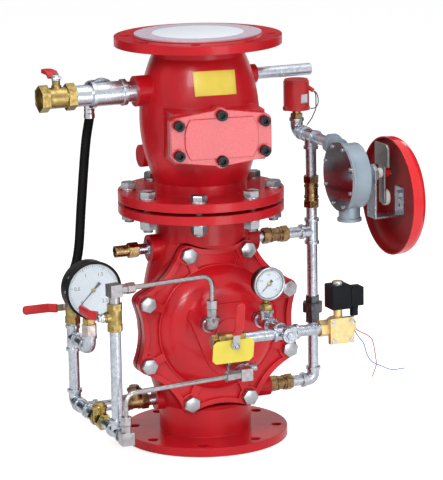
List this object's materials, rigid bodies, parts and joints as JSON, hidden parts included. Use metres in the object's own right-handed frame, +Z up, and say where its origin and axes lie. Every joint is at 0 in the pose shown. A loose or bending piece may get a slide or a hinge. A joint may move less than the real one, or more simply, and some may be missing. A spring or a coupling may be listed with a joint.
{
  "type": "preaction valve",
  "caption": "Flanged preaction valve: diaphragm deluge valve under a swing check valve, with pipe trim, gauges, ball valves, solenoid, pressure switch, water motor and gong.",
  "frame": {"origin": "centre of the inlet flange's face", "axes": "+Z up along the flow axis towards the outlet, covers and gauges facing -Y, gong to +X"},
  "size_m": [0.7408, 0.4937, 0.844],
  "materials": {
    "red_body": "deep red gloss enamel on castings",
    "red_gloss": "bright red gloss",
    "red_lever": "red dipped sleeve on a steel lever",
    "zinc": "galvanised steel, slightly mottled",
    "stainless": "bright stainless",
    "polished_steel": "turned and polished",
    "brass": "cast and machined brass",
    "black_rubber": "matt black",
    "black_steel": "black oxide",
    "dark_iron": "dark malleable iron",
    "motor_grey": "grey die cast",
    "white_plastic": "white",
    "black_plastic": "black moulded",
    "black_case": "black satin",
    "wire_red": "red insulation",
    "wire_green": "green insulation",
    "wire_blue": "blue insulation",
    "yellow_plate": "pale yellow"
  },
  "bodies": {
    "station": {"deluge_body": "red_body", "deluge_cover": "red_body", "check_body": "red_body", "check_cover": "red_body", "diaphragm": "black_rubber", "gaskets": "black_rubber", "drain_hose": "black_rubber", "diaphragm_spring": "stainless", "hinge_pin": "stainless", "sensing_tubes": "stainless", "outlet_disc": "stainless", "seat_ring": "brass", "cover_bolts": "zinc", "flange_bolts": "zinc", "fill_pipework": "zinc", "test_pipe": "zinc", "riser_pipework": "zinc", "run_pipework": "zinc", "cover_trim": "zinc", "gong_bracket": "zinc", "cover_screws": "black_steel", "riser_union": "dark_iron", "motor_housing": "motor_grey", "motor_plate": "polished_steel", "plate_screws": "stainless", "gong": "red_gloss", "pressure_switch": "red_gloss", "switch_connector": "brass", "brass_check_valves": "brass", "riser_valve_body": "brass", "fill_valve_body": "brass", "branch_valve_body": "brass", "centre_valve_body": "brass", "front_valve_body": "brass", "back_valve_body": "brass", "drip_valve": "brass", "solenoid_body": "brass", "solenoid_coil": "black_plastic", "solenoid_plug": "black_plastic", "switch_wire_red": "wire_red", "switch_wire_green": "wire_green", "solenoid_wire_red": "wire_red", "solenoid_wire_blue": "wire_blue", "inspection_tag": "yellow_plate", "large_gauge": "black_case", "small_gauge": "black_case"},
    "fill_lever": {"fill_valve_lever": "red_lever"},
    "centre_lever": {"centre_valve_lever": "red_lever"},
    "front_lever": {"front_valve_lever": "red_lever"},
    "back_lever": {"back_valve_lever": "red_lever"},
    "large_needle": {"large_gauge_needle": "black_plastic"},
    "small_needle": {"small_gauge_needle": "black_plastic"},
    "motor_shaft": {"striker_shaft": "stainless", "striker": "white_plastic"},
    "clapper": {"clapper": "brass"},
    "diaphragm_disc": {"diaphragm_disc": "stainless"},
    "solenoid_plunger": {"solenoid_plunger": "stainless"}
  },
  "joints": [
    {"name": "fill_lever_turn", "type": "hinge", "parent": "station", "child": "fill_lever", "pos_m": [-0.305, 0, 0.734], "axis": [0, 0, 1], "range_deg": [0, 90]},
    {"name": "centre_lever_turn", "type": "hinge", "parent": "station", "child": "centre_lever", "pos_m": [-0.052, -0.265, 0.271], "axis": [0, -0.9816, -0.1908], "range_deg": [0, 90]},
    {"name": "front_lever_turn", "type": "hinge", "parent": "station", "child": "front_lever", "pos_m": [-0.265, -0.19, 0.324], "axis": [1, 0, 0], "range_deg": [0, 90]},
    {"name": "back_lever_turn", "type": "hinge", "parent": "station", "child": "back_lever", "pos_m": [-0.265, 0.058, 0.284], "axis": [0, -1, 0], "range_deg": [0, 90]},
    {"name": "large_needle_turn", "type": "hinge", "parent": "station", "child": "large_needle", "pos_m": [-0.265, -0.077, 0.353], "axis": [0, 1, 0], "range_deg": [0, 270]},
    {"name": "small_needle_turn", "type": "hinge", "parent": "station", "child": "small_needle", "pos_m": [0.066, -0.195, 0.355], "axis": [0, 1, 0], "range_deg": [0, 270]},
    {"name": "motor_shaft_spin", "type": "hinge", "parent": "station", "child": "motor_shaft", "pos_m": [0.226, -0.177, 0.556], "axis": [1, 0, 0], "continuous": true},
    {"name": "clapper_swing", "type": "hinge", "parent": "station", "child": "clapper", "pos_m": [0, 0.08, 0.589], "axis": [-1, 0, 0], "range_deg": [0, 60]},
    {"name": "diaphragm_lift", "type": "slide", "parent": "station", "child": "diaphragm_disc", "axis": [0, -1, 0], "range_m": [0, 0.012], "stiffness_N_per_m": 1500, "springref_m": -0.002, "deforming": ["diaphragm_spring"]},
    {"name": "plunger_lift", "type": "slide", "parent": "station", "child": "solenoid_plunger", "axis": [0, 0, 1], "range_m": [0, 0.006], "stiffness_N_per_m": 300, "springref_m": -0.002}
  ]
}
